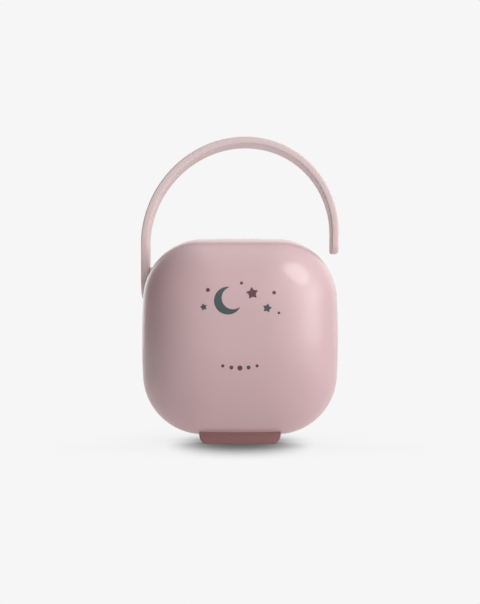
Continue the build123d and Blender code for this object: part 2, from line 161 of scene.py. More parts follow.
class CaseFinish(PropertyGroup):
    """Colours and gloss."""

    shell: colour("Body pink", "Powder pink of the two shells", (0.57, 0.382, 0.394))
    shell_roughness: factor("Body roughness", "0 is polished", 0.42)
    strap: colour("Strap", "Pink of the strap", (0.73, 0.59, 0.587))
    strap_roughness: factor("Strap roughness", "0 is polished", 0.5)
    # The foot's colour is its own deeper pink, darkened further as painted shade for its place under the body.
    foot: colour("Foot", "Deeper pink of the soft foot", (0.26, 0.122, 0.118))
    silicone: colour("Silicone", "Seal, vent and grommets", (0.74, 0.66, 0.66))
    rack: colour("Rack", "White of the drip rack", (0.78, 0.76, 0.75))
    fixing: colour("Fixings", "Pins, stud, bracket and rivets", (0.62, 0.50, 0.50))
    slate_ink: colour("Slate ink", "Printed moon and stars", (0.034, 0.054, 0.061))
    brown_ink: colour("Brown ink", "Printed dots", (0.07, 0.026, 0.032))


class CaseStage(PropertyGroup):
    """Camera and lamps."""

    distance: length("Camera distance", "From the camera to the parting plane", 0.55)
    eye: length("Camera height", "Height of the camera over the floor", 0.0453)
    aim: length("Aim height", "Height of the middle of the picture at the parting plane", 0.05454)
    lens: FloatProperty(name="Lens", description="Focal length in millimetres", default=83.3, unit="CAMERA")
    key: strength("Key", "Brightness of the key lamp", 4.3)
    side: strength("Side", "Brightness of the low light from the right", 3.0)
    high: strength("High", "Brightness of the high light from the right", 0.75)
    front: strength("Front", "Brightness of the low light from the front", 1.9)
    rim: strength("Rim", "Brightness of the low light from behind", 0.2)
    back: strength("Back", "Brightness of the high light from behind", 1.3)
    edge: strength("Edge", "Brightness of the low light from behind on the right", 1.0)
    left: strength("Left", "Brightness of the low light from the left", 1.6)
    top: strength("Top", "Brightness of the light from overhead", 1.35)
    room: strength("Room", "Brightness of the room that reflections show", 0.62)
    screen: strength("Screen", "Brightness of the screen that reflections show in front", 1.5)
    paper: factor("Paper", "Brightness of the background", 0.922)


# --- the pillow outline ----------------------------------------------------------------------------


def outline(shape, inset):
    """Returns a function that gives the outline's reach from the middle at an angle, set in by inset."""
    half_width = shape.width / 2 - inset
    half_height = shape.height / 2 - inset
    corner_x = half_width - shape.side_bow
    corner_z = half_height - shape.top_bow
    side_radius = (corner_z**2 + shape.side_bow**2) / (2 * shape.side_bow)
    top_radius = (corner_x**2 + shape.top_bow**2) / (2 * shape.top_bow)
    radius = shape.corner - inset
    side_centre = Vector((half_width - side_radius, 0))
    top_centre = Vector((0, half_height - top_radius))
    # the corner's centre is as far inside the side arc as inside the top arc
    gap = top_centre - side_centre
    from_side = side_radius - radius
    from_top = top_radius - radius
    along = (from_side**2 - from_top**2 + gap.length_squared) / (2 * gap.length)
    across = math.sqrt(from_side**2 - along**2)
    normal = Vector((-gap.y, gap.x)).normalized()
    if normal.x < 0:
        normal.negate()
    corner_centre = side_centre + gap.normalized() * along + normal * across
    side_end = side_centre + (corner_centre - side_centre) * side_radius / from_side
    top_end = top_centre + (corner_centre - top_centre) * top_radius / from_top
    side_turn = math.atan2(side_end.y, side_end.x)
    top_turn = math.atan2(top_end.y, top_end.x)

    def reach(turn):
        ray = Vector((abs(math.cos(turn)), abs(math.sin(turn))))
        angle = math.atan2(ray.y, ray.x)
        centre, arc_radius = corner_centre, radius
        if angle < side_turn:
            centre, arc_radius = side_centre, side_radius
        elif angle > top_turn:
            centre, arc_radius = top_centre, top_radius
        ahead = centre.dot(ray)
        return ahead + math.sqrt(ahead**2 - centre.length_squared + arc_radius**2)

    return reach


def middle_of(shape):
    """Height of the body's middle over the floor."""
    return shape.base + shape.height / 2


def dome(shape, y_band, y_flat, flat, inset, steps=28):
    """Stations (y, inset, share) from the straight band to the middle of the flat patch."""
    flat_share = flat / shape.width
    stations = []
    for step in range(steps + 1):
        turn = math.radians(90 * step / steps)
        share = flat_share + (1 - flat_share) * abs(math.cos(turn)) ** (2 / shape.power)
        stations.append((y_band + (y_flat - y_band) * math.sin(turn) ** (2 / shape.power), inset, share))
    return stations + [(y_flat, inset, flat_share * part) for part in (0.8, 0.55, 0.3, 0.05)]


def dome_share(shape, flat, part):
    """Share of the outline at a part of the dome's depth, from 0 at the band to 1 at the flat patch."""
    flat_share = flat / shape.width
    return flat_share + (1 - flat_share) * (1 - part**shape.power) ** (1 / shape.power)


def pillow_skin(bm, shape, stations, closed=False):
    """A skin through the pillow's outline at each station, capped at its ends or closed to a ring."""
    middle = middle_of(shape)
    reaches = {}

    def fit(verts, station):
        y, inset, share = station
        if inset not in reaches:
            reaches[inset] = outline(shape, inset)
        for vert in verts:
            turn = math.atan2(vert.co.z - middle, vert.co.x)
            reach = reaches[inset](turn) * share
            vert.co = (reach * math.cos(turn), y, middle + reach * math.sin(turn))

    lay = Matrix.Translation((0, 0, middle)) @ Matrix.Rotation(math.radians(90), 4, "X")
    ring = bmesh.ops.create_circle(bm, segments=RING_SEGMENTS, radius=1.0, matrix=lay)["verts"]
    first = edges_at(ring)
    fit(ring, stations[0])
    edges = first
    for station in stations[1:]:
        grown = bmesh.ops.extrude_edge_only(bm, edges=edges)["geom"]
        fresh = vertices_in(grown)
        fit(fresh, station)
        fresh = set(fresh)
        edges = [
            item for item in grown if isinstance(item, bmesh.types.BMEdge) and fresh.issuperset(item.verts)
        ]
    if closed:
        bmesh.ops.bridge_loops(bm, edges=first + edges)
    else:
        bmesh.ops.contextual_create(bm, geom=first)
        bmesh.ops.contextual_create(bm, geom=edges)


# --- small shapes ----------------------------------------------------------------------------------


def edges_at(verts):
    """Every edge that ends at one of the vertices, once and in their order."""
    return list(dict.fromkeys(edge for vert in verts for edge in vert.link_edges))


def vertices_in(geom):
    """The vertices in what an operator made."""
    return [item for item in geom if isinstance(item, bmesh.types.BMVert)]


def soften(bm, geom, radius, segments, affect="EDGES", **options):
    """Rounds edges, or the corners of a flat face with affect VERTICES."""
    bmesh.ops.bevel(
        bm, geom=geom, offset=radius, segments=segments, profile=0.5, affect=affect, material=-1, **options
    )


def flat_face(bm, corners):
    """A flat face through its corners, and its vertices."""
    verts = [bm.verts.new(corner) for corner in corners]
    bm.faces.new(verts)
    return verts


def thicken(bm, way, **options):
    """Draws every face out along a vector into a solid whose faces point outwards."""
    grown = bmesh.ops.extrude_face_region(bm, geom=bm.faces[:], **options)["geom"]
    bmesh.ops.translate(bm, verts=vertices_in(grown), vec=way)
    bmesh.ops.recalc_face_normals(bm, faces=bm.faces)


def slice_across(bm, axis, low, high, parts):
    """Cuts the mesh at even steps along an axis, so that it can bend."""
    normal = [0, 0, 0]
    normal[axis] = 1
    for step in range(1, parts):
        place = [0, 0, 0]
        place[axis] = low + (high - low) * step / parts
        geom = bm.verts[:] + bm.edges[:] + bm.faces[:]
        bmesh.ops.bisect_plane(bm, geom=geom, plane_co=place, plane_no=normal)


def slab(bm, low, high, round_edges=0.0):
    """A box between two corners, with its edges rounded."""
    low, high = Vector(low), Vector(high)
    place = Matrix.Translation((low + high) / 2) @ Matrix.Diagonal((*(high - low), 1))
    verts = bmesh.ops.create_cube(bm, size=1.0, matrix=place)["verts"]
    if round_edges:
        soften(bm, edges_at(verts), round_edges, 3)


def lathe(bm, start, axis, profile):
    """A closed profile of (distance along, radius) pairs, spun about an axis from start."""
    axis = Vector(axis).normalized()
    side = axis.orthogonal().normalized()
    start = Vector(start)
    verts = [bm.verts.new(start + axis * along + side * radius) for along, radius in profile]
    edges = [bm.edges.new(pair) for pair in zip(verts, verts[1:] + verts[:1])]
    bmesh.ops.spin(
        bm,
        geom=verts + edges,
        cent=start,
        axis=axis,
        angle=2 * math.pi,
        steps=CURVE_SEGMENTS,
        use_merge=True,
    )


def in_mm(profile):
    """A lathe's profile given in millimetres."""
    return [(along * MM, radius * MM) for along, radius in profile]


def tube(bm, start, axis, reach, outer, inner, soft=0.15 * MM):
    """A hollow bar with its outer edges broken."""
    profile = [(0, inner), (0, outer - soft), (soft, outer), (reach - soft, outer)]
    lathe(bm, start, axis, profile + [(reach, outer - soft), (reach, inner)])


def bar(bm, start, axis, reach, radius, soft=0.15 * MM):
    """A solid bar with its edges broken."""
    tube(bm, start, axis, reach, radius, 0.0, soft)


def smooth_between_edges(mesh, sharp):
    """Shades a mesh smooth except at edges sharper than an angle in degrees."""
    mesh.shade_smooth()
    mesh.set_sharp_from_angle(angle=math.radians(sharp))


def mould(name, build, *args, sharp=SHARP_ANGLE):
    """A closed piece with its faces outwards, from a function that fills a mesh."""
    bm = bmesh.new()
    build(bm, *args)
    bmesh.ops.remove_doubles(bm, verts=bm.verts, dist=0.002 * MM)
    bmesh.ops.dissolve_degenerate(bm, edges=bm.edges, dist=0.001 * MM)
    bmesh.ops.recalc_face_normals(bm, faces=bm.faces)
    mesh = bpy.data.meshes.new(name)
    bm.to_mesh(mesh)
    bm.free()
    smooth_between_edges(mesh, sharp)
    piece = bpy.data.objects.new(name, mesh)
    bpy.context.scene.collection.objects.link(piece)
    return piece


def carve(piece, tool, operation, sharp=SHARP_ANGLE):
    """Applies a boolean with another piece, which is used up."""
    change = piece.modifiers.new("Carve", "BOOLEAN")
    change.operation = operation
    change.solver = "EXACT"
    change.object = tool
    bpy.context.view_layer.update()
    ready = piece.evaluated_get(bpy.context.evaluated_depsgraph_get())
    mesh = bpy.data.meshes.new_from_object(ready)
    piece.modifiers.clear()
    piece.data = mesh
    mesh.name = piece.name
    smooth_between_edges(mesh, sharp)
    bpy.data.objects.remove(tool)


def cut(piece, name, build, *args, sharp=SHARP_ANGLE):
    """Cuts a named shape out of a piece."""
    carve(piece, mould(name, build, *args), "DIFFERENCE", sharp)


def join(piece, name, build, *args):
    """Joins a named shape to a piece."""
    carve(piece, mould(name, build, *args), "UNION")


def body_with(node):
    """The moving body that a frame node belongs to."""
    bodies = frame["record"]["behaviour"]["bodies"]
    return next(body for body, nodes in bodies.items() if node in nodes)


def dress(piece, node, material):
    """Gives the piece its material and lets it move with the node's body."""
    piece.data.materials.clear()
    piece.data.materials.append(finishes()[material])
    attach(piece, body_with(node))


def dress_nodes(material, *nodes):
    """Gives frame nodes that stay their material."""
    for node in nodes:
        for material_slot in frame["nodes"][node].material_slots:
            material_slot.material = finishes()[material]


# --- materials -------------------------------------------------------------------------------------


def shader_node(tree, kind, feeds=None, **settings):
    """A new node whose inputs are fed by other nodes' outputs or by plain values."""
    node = tree.nodes.new("ShaderNode" + kind)
    for label, value in settings.items():
        setattr(node, label, value)
    for label, value in (feeds or {}).items():
        if isinstance(value, bpy.types.NodeSocket):
            tree.links.new(value, node.inputs[label])
        else:
            node.inputs[label].default_value = value
    return node


def sums(tree, operation, *values):
    """The result of a math node on outputs or plain numbers."""
    return shader_node(tree, "Math", dict(enumerate(values)), operation=operation).outputs[0]


def noise(tree, vector, scale, detail, roughness=0.5):
    """A noise texture on a vector."""
    feeds = {"Vector": vector, "Scale": scale, "Detail": detail, "Roughness": roughness}
    return shader_node(tree, "TexNoise", feeds).outputs["Fac"]


def object_place(tree):
    """The place on the piece, or in the world the way that is looked along."""
    return shader_node(tree, "TexCoord").outputs["Object"]


def moulded_skin_group():
    """Moulded plastic: a faint mottle in the colour, uneven gloss from handling, and a fine skin."""
    group = bpy.data.node_groups.new("Moulded skin", "ShaderNodeTree")
    for label, kind, default in (
        ("Vector", "Vector", None),
        ("Color", "Color", (0.5, 0.5, 0.5, 1.0)),
        ("Mottle", "Float", 0.05),
        ("Gloss", "Float", 0.3),
        ("Gloss Spread", "Float", 0.05),
        ("Skin Scale", "Float", 2500.0),
    ):
        socket = group.interface.new_socket(name=label, in_out="INPUT", socket_type="NodeSocket" + kind)
        if default is not None:
            socket.default_value = default
    for label, kind in (("Color", "Color"), ("Roughness", "Float"), ("Height", "Float")):
        group.interface.new_socket(name=label, in_out="OUTPUT", socket_type="NodeSocket" + kind)
    given = group.nodes.new("NodeGroupInput").outputs
    made = group.nodes.new("NodeGroupOutput").inputs

    vector = given["Vector"]
    flow = noise(group, vector, scale=55.0, detail=2.0)
    speck = noise(group, vector, scale=900.0, detail=2.0)
    centred = sums(group, "SUBTRACT", sums(group, "MULTIPLY_ADD", speck, 0.35, flow), 0.675)
    level = sums(group, "MULTIPLY_ADD", centred, given["Mottle"], 1.0)
    grey = shader_node(group, "CombineColor", {0: level, 1: level, 2: level}).outputs[0]
    # sockets 6 and 7 are the node's two colours
    mixed = {0: 1.0, 6: given["Color"], 7: grey}
    shaded = shader_node(group, "Mix", mixed, data_type="RGBA", blend_type="MULTIPLY").outputs[2]
    smudge = sums(group, "SUBTRACT", noise(group, vector, scale=110.0, detail=4.0, roughness=0.6), 0.5)
    gloss = sums(group, "MULTIPLY_ADD", smudge, given["Gloss Spread"], given["Gloss"])
    skin = noise(group, vector, scale=given["Skin Scale"], detail=1.0)
    height = sums(group, "MULTIPLY_ADD", noise(group, vector, scale=140.0, detail=0.0), 2.0, skin)
    for label, value in (("Color", shaded), ("Roughness", gloss), ("Height", height)):
        group.links.new(value, made[label])
    return group


def moulding(name, colour, gloss, mottle=0.05, spread=0.06, skin=2500.0, bump=0.02, **plain):
    """A material of moulded plastic, rubber or silicone; plain holds the shader's own constants."""
    material = bpy.data.materials.new(name)
    material.use_nodes = True
    tree = material.node_tree
    surface = shader_node(
        tree, "Group", node_tree=bpy.data.node_groups.get("Moulded skin") or moulded_skin_group()
    )
    for label, value in (
        ("Color", (*colour, 1.0)),
        ("Mottle", mottle),
        ("Gloss", gloss),
        ("Gloss Spread", spread),
        ("Skin Scale", skin),
    ):
        surface.inputs[label].default_value = value
    tree.links.new(object_place(tree), surface.inputs["Vector"])
    lift = shader_node(
        tree, "Bump", {"Strength": bump, "Distance": 0.05 * MM, "Height": surface.outputs["Height"]}
    )
    shader = tree.nodes["Principled BSDF"]
    for output, label in (
        (surface.outputs["Color"], "Base Color"),
        (surface.outputs["Roughness"], "Roughness"),
        (lift.outputs["Normal"], "Normal"),
    ):
        tree.links.new(output, shader.inputs[label])
    for label, value in plain.items():
        shader.inputs[label.replace("_", " ")].default_value = value
    return material


def finishes():
    """The case's materials by name, made once."""
    finish = bpy.context.scene.case_finish
    ink = dict(mottle=0.25, spread=0.12, bump=0.08, IOR=1.47)
    recipes = {
        "Body pink": (finish.shell, finish.shell_roughness, dict(
            mottle=0.035, bump=0.01, IOR=1.49, Coat_Weight=0.5, Coat_Roughness=0.12,
            Subsurface_Weight=0.06, Subsurface_Radius=(1.0, 0.55, 0.5), Subsurface_Scale=1.2 * MM,
        )),
        "Strap": (finish.strap, finish.strap_roughness, dict(
            mottle=0.04, spread=0.08, bump=0.0, IOR=1.4, Specular_IOR_Level=0.2,
        )),
        # The foot's colour holds painted shade: it is darker than its own pink, for the shade under the body.
        "Foot rubber and painted shade": (finish.foot, 0.55, dict(mottle=0.08, spread=0.12, skin=3200.0, bump=0.12, IOR=1.45)),
        "Silicone": (finish.silicone, 0.48, dict(
            mottle=0.05, spread=0.12, bump=0.06, IOR=1.42,
            Subsurface_Weight=0.35, Subsurface_Radius=(1.0, 0.8, 0.8), Subsurface_Scale=1.5 * MM,
        )),
        "Rack plastic": (finish.rack, 0.4, dict(
            mottle=0.03, spread=0.1, bump=0.05, IOR=1.49,
            Subsurface_Weight=0.1, Subsurface_Radius=(1.0, 0.9, 0.85), Subsurface_Scale=1.2 * MM,
        )),
        "Fixing plastic": (finish.fixing, 0.36, dict(mottle=0.05, spread=0.1, bump=0.05, IOR=1.49)),
        "Slate ink": (finish.slate_ink, 0.42, ink),
        "Brown ink": (finish.brown_ink, 0.42, ink),
    }
    return {
        name: bpy.data.materials.get(name) or moulding(name, shade, gloss, **rest)
        for name, (shade, gloss, rest) in recipes.items()
    }


# --- the shells ------------------------------------------------------------------------------------


def quarter(centre, radius, start, stop, share=1.0, steps=5):
    """Stations round a quarter turn, from angle start to stop in degrees, about (y, inset)."""
    stations = []
    for step in range(steps + 1):
        turn = math.radians(start + (stop - start) * step / steps)
        stations.append((centre[0] + radius * math.cos(turn), centre[1] + radius * math.sin(turn), share))
    return stations


def straight(start, stop, inset, steps=4):
    """Stations along a straight wall, without its ends."""
    return [(start + (stop - start) * step / steps, inset, 1.0) for step in range(1, steps)]


def front_stations(shape):
    """The cover's skin, from the middle of its front round the rim to the middle of its inside."""
    soft, wall, band = shape.edge_break, shape.cover_wall, shape.band
    ledge = SEAL_BOX[0].y
    shelf = wall + 1.6 * MM
    outer = list(reversed(dome(shape, -band, -shape.front_depth, shape.front_flat, 0.0)))
    rim = straight(-band, -shape.rim_round, 0.0)
    rim += quarter((-shape.rim_round, shape.rim_round), shape.rim_round, -90, 0)
    rim += quarter((-soft, wall - soft), soft, 0, 90, steps=3)
    rim += straight(-soft, ledge, wall)
    rim += [(ledge, wall, 1.0)]
    rim += quarter((ledge - soft, shelf - soft), soft, 0, 90, steps=3)
    rim += quarter((-band + soft, shelf - soft), soft, 90, 180, steps=3)
    inner = dome(shape, -band, -shape.front_depth + wall, shape.front_flat, wall)
    return outer + rim + inner


def back_stations(shape):
    """The back shell's skin, from the middle of its back round the lip to the middle of its inside."""
    soft, band = shape.edge_break, shape.band
    inset, inside = shape.shell_inset, shape.shell_inset + shape.shell_wall
    lip = SHELL_BOX[0].y
    outer = list(reversed(dome(shape, band, shape.back_depth, shape.back_flat, inset)))
    rim = straight(band, lip, inset, steps=6)
    rim += quarter((lip + soft, inset + soft), soft, -90, -180, steps=3)
    rim += quarter((lip + soft, inside - soft), soft, 180, 90, steps=3)
    rim += straight(lip, band, inside, steps=6)
    inner = dome(shape, band, shape.back_depth - shape.shell_wall, shape.back_flat, inside)
    return outer + rim + inner


def solid_stations(shape, side, below=0.0):
    """The cover's outer form (side -1) or the back shell's (side 1) as a solid, below its skin."""
    if side < 0:
        return [(0.0, 0.0, 1.0)] + dome(shape, -shape.band, -shape.front_depth, shape.front_flat, 0.0)
    inset = shape.shell_inset + below
    back = dome(shape, shape.band, shape.back_depth - below, shape.back_flat, inset)
    return [(SHELL_BOX[0].y, inset, 1.0)] + back


def knuckle(piece, near, far, root_low, root_high):
    """Joins a hinge knuckle to a shell with its root, whose corners are given as (y, z)."""
    low, high = min(near, far), max(near, far)
    join(piece, "Root", slab, (low, *root_low), (high, *root_high))
    join(piece, "Knuckle", bar, (low, HINGE.y, HINGE.z), RIGHT, high - low, KNUCKLE_RADIUS)


def bore_hinge(piece, radius):
    """Bores the hinge's knuckles for the pin."""
    cut(piece, "Bore", bar, (BORE_START, HINGE.y, HINGE.z), RIGHT, BORE_REACH, radius)


def plug_holes(piece, side, top):
    """Bores the two holes that the foot's plugs pass through."""
    for end in (-1, 1):
        start = (end * PLUG_X, side * PLUG_Y, 0)
        cut(piece, "Plug hole", bar, start, UP, top, PLUG_RADIUS, 0.01 * MM)


class CASE_OT_front_cover(Operator):
    """Moulds the domed front cover with its ledge, hook pocket and hinge knuckles"""

    bl_idname = "case.front_cover"
    bl_label = "Front cover"

    def execute(self, context):
        shape = context.scene.case_shape
        top = shape.base + shape.height
        near, far = OUTER_KNUCKLES
        room_radius = KNUCKLE_RADIUS + 0.3 * MM
        piece = mould("cover_dome", pillow_skin, shape, front_stations(shape))
        cut(piece, "Room", bar, (-near, HINGE.y, HINGE.z), RIGHT, 2 * near, room_radius, 0.01 * MM)
        pocket_low = (-HOOK_ROOM, -3.45 * MM, top - 2 * shape.cover_wall)
        pocket_high = (HOOK_ROOM, -1.0 * MM, 77.95 * MM)
        cut(piece, "Pocket", slab, pocket_low, pocket_high, 0.2 * MM)
        root_low, root_high = (-2.3 * MM, HINGE.z - KNUCKLE_RADIUS), (0, HINGE.z + 1.1 * MM)
        for side in (-1, 1):
            knuckle(piece, side * near, side * far, root_low, root_high)
        bore_hinge(piece, 0.85 * MM)
        plug_holes(piece, -1, shape.base + 2 * shape.cover_wall)
        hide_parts("front_cover")
        dress(piece, "front_cover", "Body pink")
        return {"FINISHED"}


class CASE_OT_back_shell(Operator):
    """Moulds the back shell with its lip, slots, boss, posts and hinge knuckle"""

    bl_idname = "case.back_shell"
    bl_label = "Back shell"

    def execute(self, context):
        shape = context.scene.case_shape
        low, high = BUTTON_BOX
        piece = mould("back_dome", pillow_skin, shape, back_stations(shape))
        top = shape.base + shape.height - shape.shell_inset
        below, above = top - 3.6 * MM, top + 2 * MM
        # slot for the button, which is wider than its slot, and notch in the lip for the hook
        overlap, slot_round = 1.2 * MM, 0.3 * MM
        slot_low, slot_high = (low.x + overlap, 2.3 * MM, below), (high.x - overlap, 9.9 * MM, above)
        cut(piece, "Slot", slab, slot_low, slot_high, slot_round)
        notch_low, notch_high = (-HOOK_ROOM, -5.5 * MM, below), (HOOK_ROOM, -0.85 * MM, above)
        cut(piece, "Notch", slab, notch_low, notch_high, slot_round)
        steam_x, steam_z, steam_pitch = 33.5 * MM, 37.925 * MM, 3.0 * MM
        for step in (-1, 0, 1):
            cut(piece, "Steam slot", rounded_bar, (steam_x, VENT_Y, steam_z + step * steam_pitch))
        # posts with pins for the rack, which end inside the wall, and posts for the bracket's rivets
        within = 0.6 * MM
        rivet_x, rivet_y, rivet_z = 13.3 * MM, 6.1 * MM, 68.6 * MM
        rivet_post = (6.9 * MM, 2.3 * MM, 0.9 * MM)
        for side in (-1, 1):
            post = mould("Rack post", lathe, (side * RACK_PIN_X, 0, middle_of(shape)), BACK, rack_post(shape))
            limit = mould("Limit", pillow_skin, shape, solid_stations(shape, 1, within))
            carve(post, limit, "INTERSECT")
            carve(piece, post, "UNION")
            join(piece, "Rivet post", tube, (side * rivet_x, rivet_y, rivet_z), UP, *rivet_post)
        # boss for the strap's stud: its start along X, then its reach and its radii
        boss_x, boss = -28.05 * MM, (8.0 * MM, 4.6 * MM, 2.15 * MM)
        bore_x, bore = -25 * MM, (15 * MM, 3.2 * MM)
        stud_boss = mould("Boss", tube, (boss_x, PIVOT.y, PIVOT.z), LEFT, *boss)
        cut(piece, "Stud bore", bar, (bore_x, PIVOT.y, PIVOT.z), LEFT, *bore)
        carve(piece, stud_boss, "UNION")
        root_high = (2.3 * MM, HINGE.z + shape.shell_inset + 0.9 * MM)
        knuckle(piece, -MIDDLE_KNUCKLE, MIDDLE_KNUCKLE, (0, HINGE.z - KNUCKLE_RADIUS), root_high)
        bore_hinge(piece, 0.8 * MM)
        plug_holes(piece, 1, shape.base + shape.shell_inset + 2 * shape.shell_wall)
        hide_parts("rear_shell")
        dress(piece, "rear_shell", "Body pink")
        return {"FINISHED"}


def rounded_bar(bm, start):
    """A bar along X with a slot's outline, 6 mm along Y and 1.4 mm high."""
    radius, reach, depth = 0.7 * MM, 2.3 * MM, 6 * MM
    place = Matrix.Translation(start) @ Matrix.Rotation(math.radians(90), 4, "Y")
    verts = bmesh.ops.create_circle(bm, cap_ends=True, segments=40, radius=radius, matrix=place)["verts"]
    for vert in verts:
        vert.co.y += reach if vert.co.y > start[1] else -reach
    thicken(bm, (depth, 0, 0))


def rack_post(shape):
    """Profile along Y of a post on the back wall with the pin that carries the rack."""
    pin = in_mm(((13.8, 0), (13.8, 0.8), (14.1, 1.1), (17.1, 1.1), (17.1, 2.2), (17.3, 2.4)))
    return pin + [(shape.back_depth, 2.4 * MM), (shape.back_depth, 0.0)]


# --- the strap -------------------------------------------------------------------------------------


def strap_run(strap):
    """Lengths along the flat strap: the left end, the arch's start, its end and the free end."""
    top = STRAP_BOX[1].z
    spring = top - strap.arch_rise
    middle_rise = strap.arch_rise - strap.thickness / 2
    reach = (-STRAP_BOX[0].x - strap.thickness / 2 + middle_rise) / 2
    first = spring - STRAP_BOX[0].z
    arch = math.pi * reach
    return first, first + arch, first + arch + 5.8 * MM


def flat_strap(bm, strap):
    """The strap laid flat: an eye at one end, rounded corners at the other, and soft edges all round."""
    half = (STRAP_BOX[1].y - STRAP_BOX[0].y) / 2
    total = strap_run(strap)[2]
    # just short of the full round, so that the eye's two corners don't meet
    nearly = 0.9999
    corners = ((0, -half), (total, -half), (total, half), (0, half))
    verts = flat_face(bm, [(x, PIVOT.y + y, 0) for x, y in corners])
    for pair, radius, steps in ((verts[1:3], strap.tip_corner, 10), ((verts[0], verts[3]), half, 32)):
        soften(bm, list(pair), radius * nearly, steps, "VERTICES", offset_type="OFFSET")
    bmesh.ops.remove_doubles(bm, verts=bm.verts, dist=0.005 * MM)
    thicken(bm, (0, 0, strap.thickness))
    rims = [edge for edge in bm.edges if abs(edge.verts[0].co.z - edge.verts[1].co.z) < 0.001 * MM]
    soften(bm, rims, strap.edge, 5)
    flats = [face for face in bm.faces if len(face.verts) > 12]
    bmesh.ops.inset_individual(bm, faces=flats, thickness=0.25 * MM, depth=0)
    slice_across(bm, axis=0, low=0, high=total, parts=150)


def bent_strap(bm, strap):
    """The flat strap, whose length lies along X and whose outer side is up, bent into its arch."""
    flat_strap(bm, strap)
    first, second, _ = strap_run(strap)
    inner = -STRAP_BOX[0].x - strap.thickness
    spring = STRAP_BOX[1].z - strap.arch_rise
    rise = strap.arch_rise - strap.thickness
    for vert in bm.verts:
        along, offset = vert.co.x, vert.co.z
        if along < first:
            x, z = -(inner + offset), STRAP_BOX[0].z + along
        elif along > second:
            x, z = inner + offset, spring - (along - second)
        else:
            turn = math.pi * (1 - (along - first) / (second - first))
            x = (inner + offset) * math.cos(turn) + strap.lean * math.sin(turn)
            z = spring + (rise + offset) * math.sin(turn)
        vert.co = (x, vert.co.y, z)


class CASE_OT_strap(Operator):
    """Bends the carrying strap, with its eye for the stud and its free end"""

    bl_idname = "case.strap"
    bl_label = "Carrying strap"

    def execute(self, context):
        strap = context.scene.strap_shape
        crease, ahead = 40, 1 * MM
        outer = STRAP_BOX[0].x
        start = (outer - ahead, PIVOT.y, PIVOT.z)
        piece = mould("strap_arch", bent_strap, strap, sharp=crease)
        cut(piece, "Bush bore", bar, start, RIGHT, 5 * MM, strap.bush, sharp=crease)
        sink = (RIGHT, ahead + strap.sink_depth, strap.sink, 0.01 * MM)
        cut(piece, "Counterbore", bar, start, *sink, sharp=crease)
        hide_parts("carry_strap")
        dress(piece, "carry_strap", "Strap")

        # from the head's shallow dish, round its rim and along the shank
        profile = in_mm((
            (0.12, 0), (0.12, 1.6), (0.06, 2.2), (0, 2.8), (0, 3.4), (0.1, 3.72), (0.3, 3.88), (0.5, 3.9),
            (1.15, 3.9), (1.15, 2.15), (12.3, 2.15), (12.8, 1.75), (12.8, 0),
        ))
        stud = mould("strap_rivet", lathe, (outer + 0.1 * MM, PIVOT.y, PIVOT.z), RIGHT, profile)
        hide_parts("strap_stud")
        dress(stud, "strap_stud", "Fixing plastic")
        dress_nodes("Silicone", "strap_bush")
        dress_nodes("Fixing plastic", "stud_retainer")
        return {"FINISHED"}


# --- the foot --------------------------------------------------------------------------------------


def foot_block(bm, side, top):
    """One half of the foot: a block whose lower corners and outer lower edge are rounded."""
    base_half, top_half = 14.8 * MM, 15.6 * MM
    corner_round, edge_round = 2.3 * MM, 0.9 * MM
    height = HINGE.z
    near, far = side * 4.6 * MM, side * 14.5 * MM
    right = ((base_half, 0), (top_half, height), (top_half, top))
    corners = [(-base_half, 0), *right, (-top_half, top), (-top_half, height)]
    verts = flat_face(bm, [(x, far, z) for x, z in corners])
    soften(bm, verts[:2], corner_round, 12, "VERTICES")
    rim = [edge for edge in bm.edges if max(vert.co.z for vert in edge.verts) < height + 0.01 * MM]
    thicken(bm, (0, near - far, 0), use_keep_orig=True)
    soften(bm, [edge for edge in rim if edge.is_valid], edge_round, 6, clamp_overlap=True)


class CASE_OT_foot(Operator):
    """Moulds the two soft halves of the foot with their plugs"""

    bl_idname = "case.foot"
    bl_label = "Foot"

    def execute(self, context):
        shape = context.scene.case_shape
        for name, node, side, wall in (
            ("foot_front", "front_foot", -1, shape.cover_wall),
            ("foot_back", "rear_foot", 1, shape.shell_inset + shape.shell_wall),
        ):
            piece = mould(name, foot_block, side, shape.base + wall)
            cut(piece, "Body", pillow_skin, shape, solid_stations(shape, side))
            # the plug's neck fills its hole, and its head lies on the wall
            profile = [(0, 0), (0, PLUG_RADIUS), (wall, PLUG_RADIUS)]
            for lift, radius in in_mm(((0, 2.3), (0.1, 2.4), (1.3, 2.4), (1.6, 2.1), (1.6, 0))):
                profile.append((wall + lift, radius))
            for end in (-1, 1):
                join(piece, "Plug", lathe, (end * PLUG_X, side * PLUG_Y, shape.base), UP, profile)
            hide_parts(node)
            dress(piece, node, "Foot rubber and painted shade")
        dress_nodes("Fixing plastic", "hinge_pin")
        return {"FINISHED"}


# --- the latch -------------------------------------------------------------------------------------


